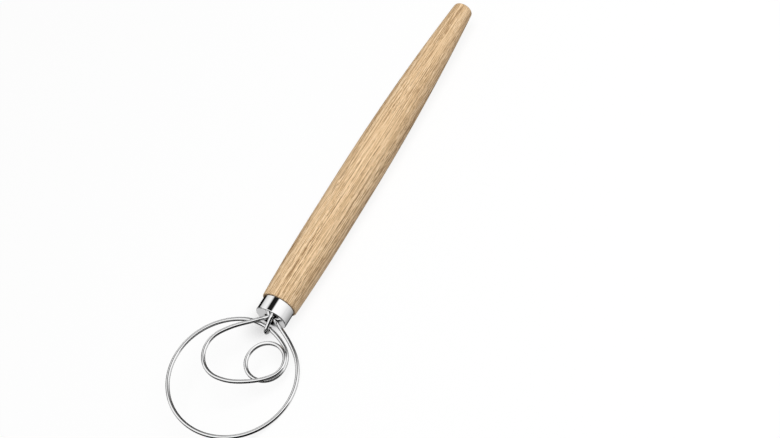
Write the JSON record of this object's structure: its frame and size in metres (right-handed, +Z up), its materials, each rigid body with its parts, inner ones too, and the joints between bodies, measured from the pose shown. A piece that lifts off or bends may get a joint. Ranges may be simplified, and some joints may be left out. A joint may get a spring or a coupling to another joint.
{
  "type": "dough whisk",
  "caption": "Hand dough whisk: tapered turned wood handle, polished steel ferrule, and one springy wire bent into an outer loop, a middle loop and a small inner curl held by a wire hook.",
  "frame": {"origin": "middle of the footprint, on the table that the whisk lies on", "axes": "+X along the handle from the loops to the tip, +Z up from the table, +Y to the loops' raised side"},
  "size_m": [0.3432, 0.079, 0.0266],
  "materials": {
    "handle_wood": "fine sanded, lightly oiled",
    "ferrule_steel": "polished",
    "wire_steel": "bright drawn",
    "resin": "cured resin"
  },
  "bodies": {
    "root": {"handle": "handle_wood", "ferrule": "ferrule_steel", "whisk_wire": "wire_steel", "keeper_hook": "wire_steel", "bond_plug": "resin"}
  },
  "joints": []
}
